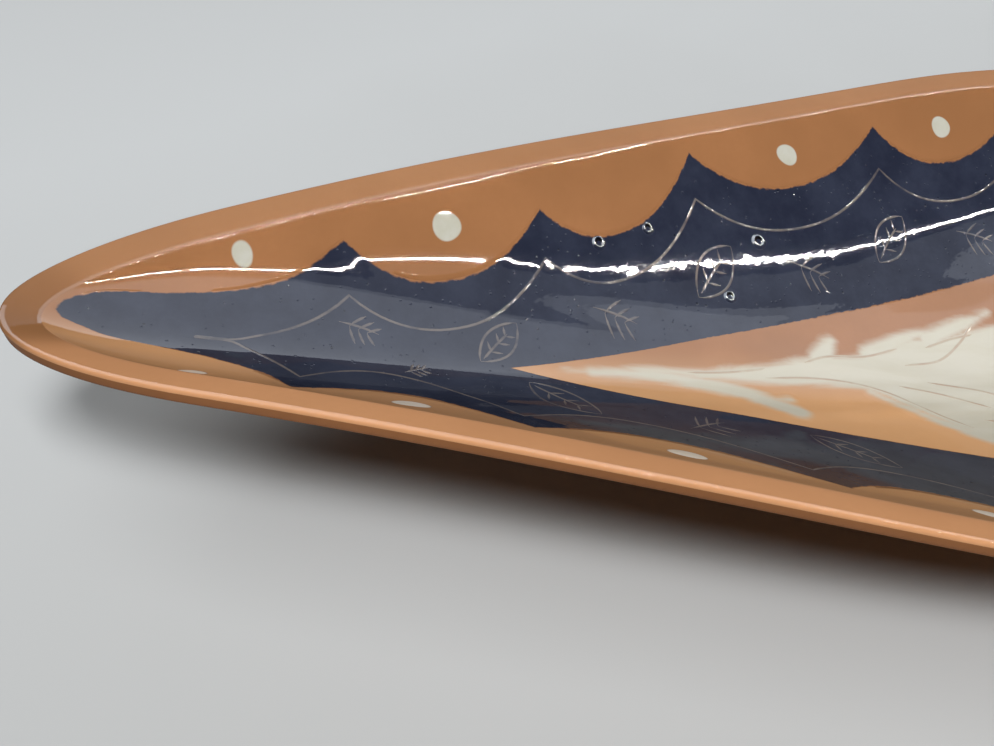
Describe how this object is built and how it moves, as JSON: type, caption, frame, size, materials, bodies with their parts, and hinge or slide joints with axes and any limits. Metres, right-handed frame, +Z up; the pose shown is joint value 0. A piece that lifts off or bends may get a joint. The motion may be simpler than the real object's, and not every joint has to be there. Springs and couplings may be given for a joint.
{
  "type": "trinket dish",
  "caption": "Boat-shaped glazed earthenware dish with a scalloped dark slip band, white slip dots and a poured white streak, on a low foot ring.",
  "frame": {"origin": "on the table under the middle of the dish", "axes": "+X along the dish from tip to tip, +Z up"},
  "size_m": [0.275, 0.1006, 0.0393],
  "materials": {
    "clay": "clear gloss glaze over orange-brown clay",
    "bare_clay": "bare fired clay, ground flat",
    "navy_slip": "navy slip under clear gloss glaze",
    "white_slip": "white slip under clear gloss glaze"
  },
  "bodies": {
    "root": {"dish_body": "clay", "foot_ring": "bare_clay", "scallop_border": "navy_slip", "navy_field": "navy_slip", "slip_dots": "white_slip", "white_streak": "white_slip"}
  },
  "joints": []
}
